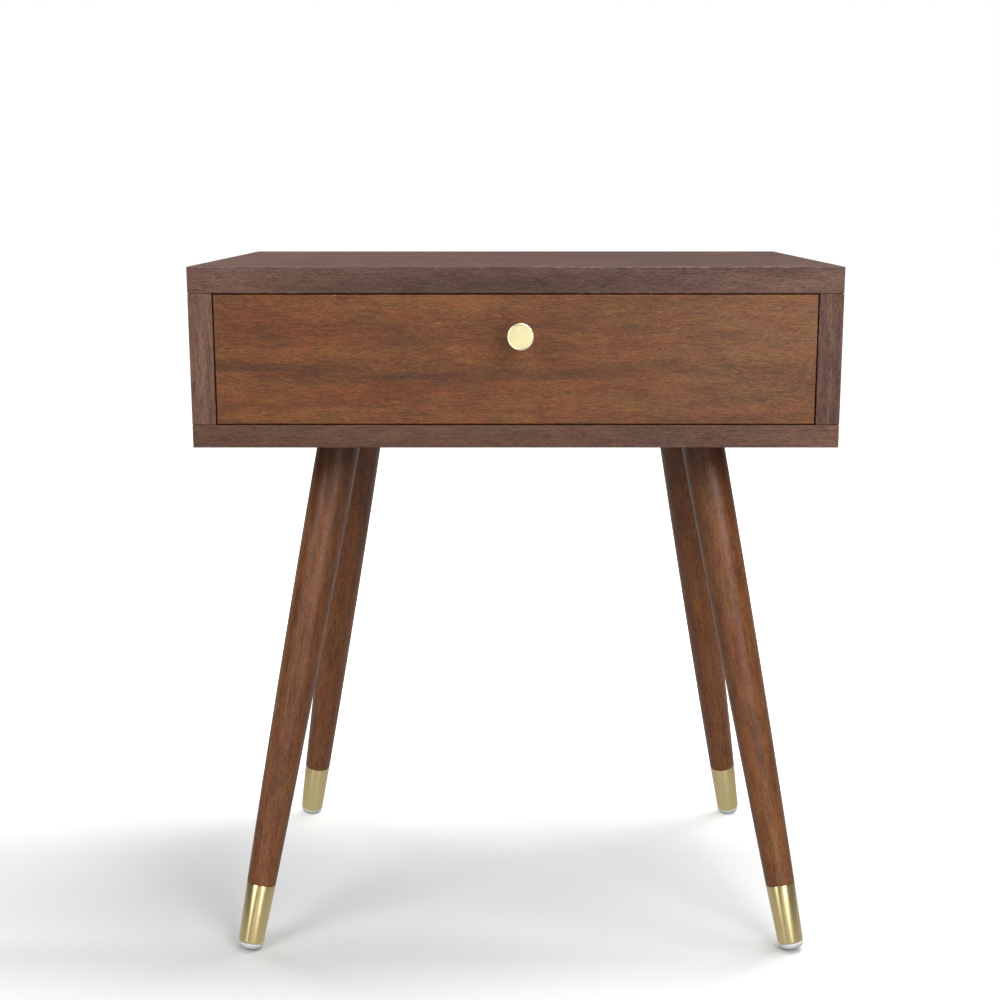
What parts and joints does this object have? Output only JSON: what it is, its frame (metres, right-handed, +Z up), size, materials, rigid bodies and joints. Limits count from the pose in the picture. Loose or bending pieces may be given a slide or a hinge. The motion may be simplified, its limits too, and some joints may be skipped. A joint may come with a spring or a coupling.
{
  "type": "nightstand",
  "caption": "Low rectangular bedside table with a flush-fronted pull-out drawer, round brass knob and splayed tapered wooden legs ending in brass ferrules.",
  "frame": {"origin": "on the floor, under the middle of the whole piece's box (the knob stands 26 mm in front of the case, so the case's own middle is 13 mm towards +Y)", "axes": "+Z up, +X to the right of someone facing the drawer, the drawer opens towards -Y"},
  "size_m": [0.5, 0.386, 0.567],
  "materials": {
    "case_wood": "satin walnut-brown stained board with open grain",
    "front_wood": "satin warm brown stained board, grain along the width",
    "leg_wood": "semi-gloss dark brown turned wood",
    "back_wood": "matt brown board",
    "box_wood": "clear-lacquered pale wood",
    "box_floor": "clear-lacquered pale plywood",
    "brass": "satin brushed",
    "white_nylon": "moulded white nylon",
    "zinc_steel": "bright zinc plated",
    "slide_steel": "zinc plated, rolled"
  },
  "bodies": {
    "case": {"top_panel": "case_wood", "bottom_panel": "case_wood", "left_side_panel": "case_wood", "right_side_panel": "case_wood", "back_panel": "back_wood", "left_slide_case_member": "slide_steel", "right_slide_case_member": "slide_steel", "front_left_leg": "leg_wood", "front_left_ferrule": "brass", "front_left_glide": "white_nylon", "front_left_leg_plate": "zinc_steel", "front_left_hanger_bolt": "zinc_steel", "front_left_plate_screw_1": "zinc_steel", "front_left_plate_screw_2": "zinc_steel", "front_left_plate_screw_3": "zinc_steel", "front_left_plate_screw_4": "zinc_steel", "front_right_leg": "leg_wood", "front_right_ferrule": "brass", "front_right_glide": "white_nylon", "front_right_leg_plate": "zinc_steel", "front_right_hanger_bolt": "zinc_steel", "front_right_plate_screw_1": "zinc_steel", "front_right_plate_screw_2": "zinc_steel", "front_right_plate_screw_3": "zinc_steel", "front_right_plate_screw_4": "zinc_steel", "rear_left_leg": "leg_wood", "rear_left_ferrule": "brass", "rear_left_glide": "white_nylon", "rear_left_leg_plate": "zinc_steel", "rear_left_hanger_bolt": "zinc_steel", "rear_left_plate_screw_1": "zinc_steel", "rear_left_plate_screw_2": "zinc_steel", "rear_left_plate_screw_3": "zinc_steel", "rear_left_plate_screw_4": "zinc_steel", "rear_right_leg": "leg_wood", "rear_right_ferrule": "brass", "rear_right_glide": "white_nylon", "rear_right_leg_plate": "zinc_steel", "rear_right_hanger_bolt": "zinc_steel", "rear_right_plate_screw_1": "zinc_steel", "rear_right_plate_screw_2": "zinc_steel", "rear_right_plate_screw_3": "zinc_steel", "rear_right_plate_screw_4": "zinc_steel"},
    "drawer": {"drawer_front": "front_wood", "drawer_box_front": "box_wood", "drawer_left_side": "box_wood", "drawer_right_side": "box_wood", "drawer_back": "box_wood", "drawer_bottom": "box_floor", "knob": "brass", "knob_screw": "zinc_steel", "left_front_screw": "zinc_steel", "right_front_screw": "zinc_steel", "left_slide_drawer_member": "slide_steel", "right_slide_drawer_member": "slide_steel"},
    "left_slide_middle": {"left_slide_middle_member": "slide_steel"},
    "right_slide_middle": {"right_slide_middle_member": "slide_steel"}
  },
  "joints": [
    {"name": "drawer_slide", "type": "slide", "parent": "case", "child": "drawer", "axis": [0, -1, 0], "range_m": [0, 0.295]},
    {"name": "left_slide_extension", "type": "slide", "parent": "case", "child": "left_slide_middle", "axis": [0, -1, 0], "range_m": [0, 0.1475]},
    {"name": "right_slide_extension", "type": "slide", "parent": "case", "child": "right_slide_middle", "axis": [0, -1, 0], "range_m": [0, 0.1475]}
  ],
  "couplings": [
    {"joint": "left_slide_extension", "follows": "drawer_slide", "ratio": 0.5},
    {"joint": "right_slide_extension", "follows": "drawer_slide", "ratio": 0.5}
  ]
}
